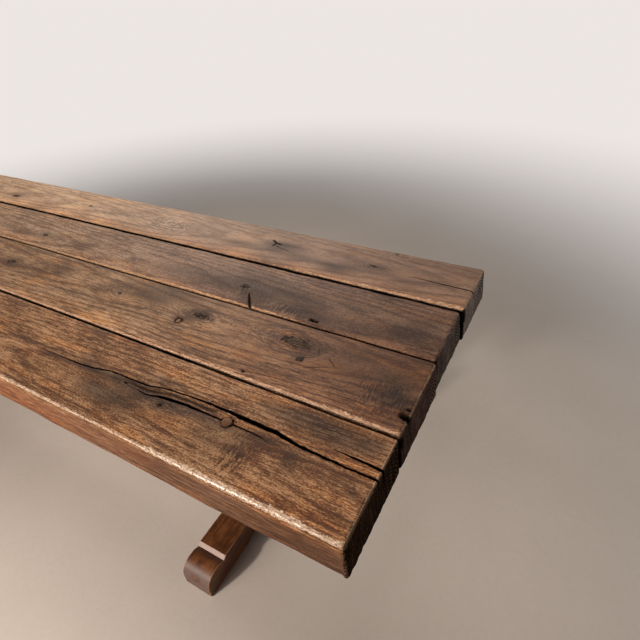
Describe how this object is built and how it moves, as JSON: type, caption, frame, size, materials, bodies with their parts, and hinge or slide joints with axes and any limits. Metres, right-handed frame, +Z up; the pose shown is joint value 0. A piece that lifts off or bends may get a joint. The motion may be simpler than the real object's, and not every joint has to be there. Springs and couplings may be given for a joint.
{
  "type": "trestle dining table",
  "caption": "Heavy oak trestle dining table: thick worn planks with open joints and splits on sledge-foot trestles, locked by a wedged through-tenon stretcher.",
  "frame": {"origin": "on the floor under the middle of the top", "axes": "+X along the table's length, +Y across it from the near edge to the far edge, +Z up"},
  "size_m": [2.6, 0.9, 0.78],
  "materials": {
    "aged_oak": "waxed, worn",
    "stained_oak": "satin lacquer",
    "peg_oak": "waxed",
    "zinc_steel": "zinc plated"
  },
  "bodies": {
    "table": {"plank_far": "aged_oak", "plank_mid_far": "aged_oak", "plank_mid_near": "aged_oak", "plank_near": "aged_oak", "treenail_near": "peg_oak", "plug_mid_near": "peg_oak", "left_foot_pegs": "peg_oak", "left_bearer_pegs": "peg_oak", "right_foot_pegs": "peg_oak", "right_bearer_pegs": "peg_oak", "left_foot": "stained_oak", "left_post": "stained_oak", "left_bearer": "stained_oak", "right_foot": "stained_oak", "right_post": "stained_oak", "right_bearer": "stained_oak", "stretcher": "stained_oak", "left_coach_screws": "zinc_steel", "left_washers": "zinc_steel", "right_coach_screws": "zinc_steel", "right_washers": "zinc_steel"},
    "left_key": {"left_key_wedge": "stained_oak"},
    "right_key": {"right_key_wedge": "stained_oak"}
  },
  "joints": [
    {"name": "left_key_draw", "type": "slide", "parent": "table", "child": "left_key", "axis": [0, 0, 1], "range_m": [0, 0.12]},
    {"name": "right_key_draw", "type": "slide", "parent": "table", "child": "right_key", "axis": [0, 0, 1], "range_m": [0, 0.12]}
  ]
}
